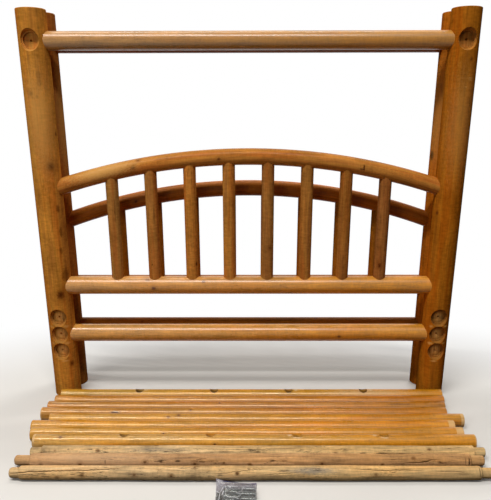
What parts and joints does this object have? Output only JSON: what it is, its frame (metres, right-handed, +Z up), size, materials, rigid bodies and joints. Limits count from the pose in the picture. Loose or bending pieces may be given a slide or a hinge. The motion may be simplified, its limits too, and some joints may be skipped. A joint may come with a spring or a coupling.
{
  "type": "log bed",
  "caption": "Rustic canopy log bed taken apart: end frames of round posts, arched rails and spindles, with loose side rails, cross slats and a bag of lag bolts.",
  "frame": {"origin": "on the floor, at the middle of the footprint of the end frames and the loose pieces laid in front of them", "axes": "+Z up, +X to the right along the rails, +Y from the loose pieces towards the standing end frames"},
  "size_m": [2.218, 1.361, 1.994],
  "materials": {
    "stained_log": "honey stain under satin varnish",
    "bare_log": "peeled and unfinished, with knots and drying checks",
    "clear_film": "thin clear plastic film",
    "zinc_steel": "bright zinc plate"
  },
  "bodies": {
    "root": {"canopy_rail_left": "stained_log", "canopy_rail_right": "stained_log", "cross_slat_1": "bare_log", "cross_slat_2": "bare_log", "cross_slat_3": "bare_log", "footboard_arch_rail": "stained_log", "footboard_bottom_rail": "stained_log", "footboard_post_left": "stained_log", "footboard_post_right": "stained_log", "footboard_spindle_1": "stained_log", "footboard_spindle_2": "stained_log", "footboard_spindle_3": "stained_log", "footboard_spindle_4": "stained_log", "footboard_spindle_5": "stained_log", "footboard_spindle_6": "stained_log", "footboard_spindle_7": "stained_log", "footboard_spindle_8": "stained_log", "footboard_spindle_rail": "stained_log", "footboard_top_rail": "stained_log", "hardware_bag": "clear_film", "headboard_arch_rail": "stained_log", "headboard_bottom_rail": "stained_log", "headboard_post_left": "stained_log", "headboard_post_right": "stained_log", "headboard_spindle_1": "stained_log", "headboard_spindle_2": "stained_log", "headboard_spindle_3": "stained_log", "headboard_spindle_4": "stained_log", "headboard_spindle_5": "stained_log", "headboard_spindle_6": "stained_log", "headboard_spindle_7": "stained_log", "headboard_spindle_8": "stained_log", "headboard_spindle_rail": "stained_log", "headboard_top_rail": "stained_log", "lag_bolts": "zinc_steel", "lower_side_rail_left": "stained_log", "lower_side_rail_right": "stained_log", "slat_rail_left": "stained_log", "slat_rail_right": "stained_log", "upper_side_rail_left": "stained_log", "upper_side_rail_right": "stained_log", "washers": "zinc_steel"}
  },
  "joints": []
}
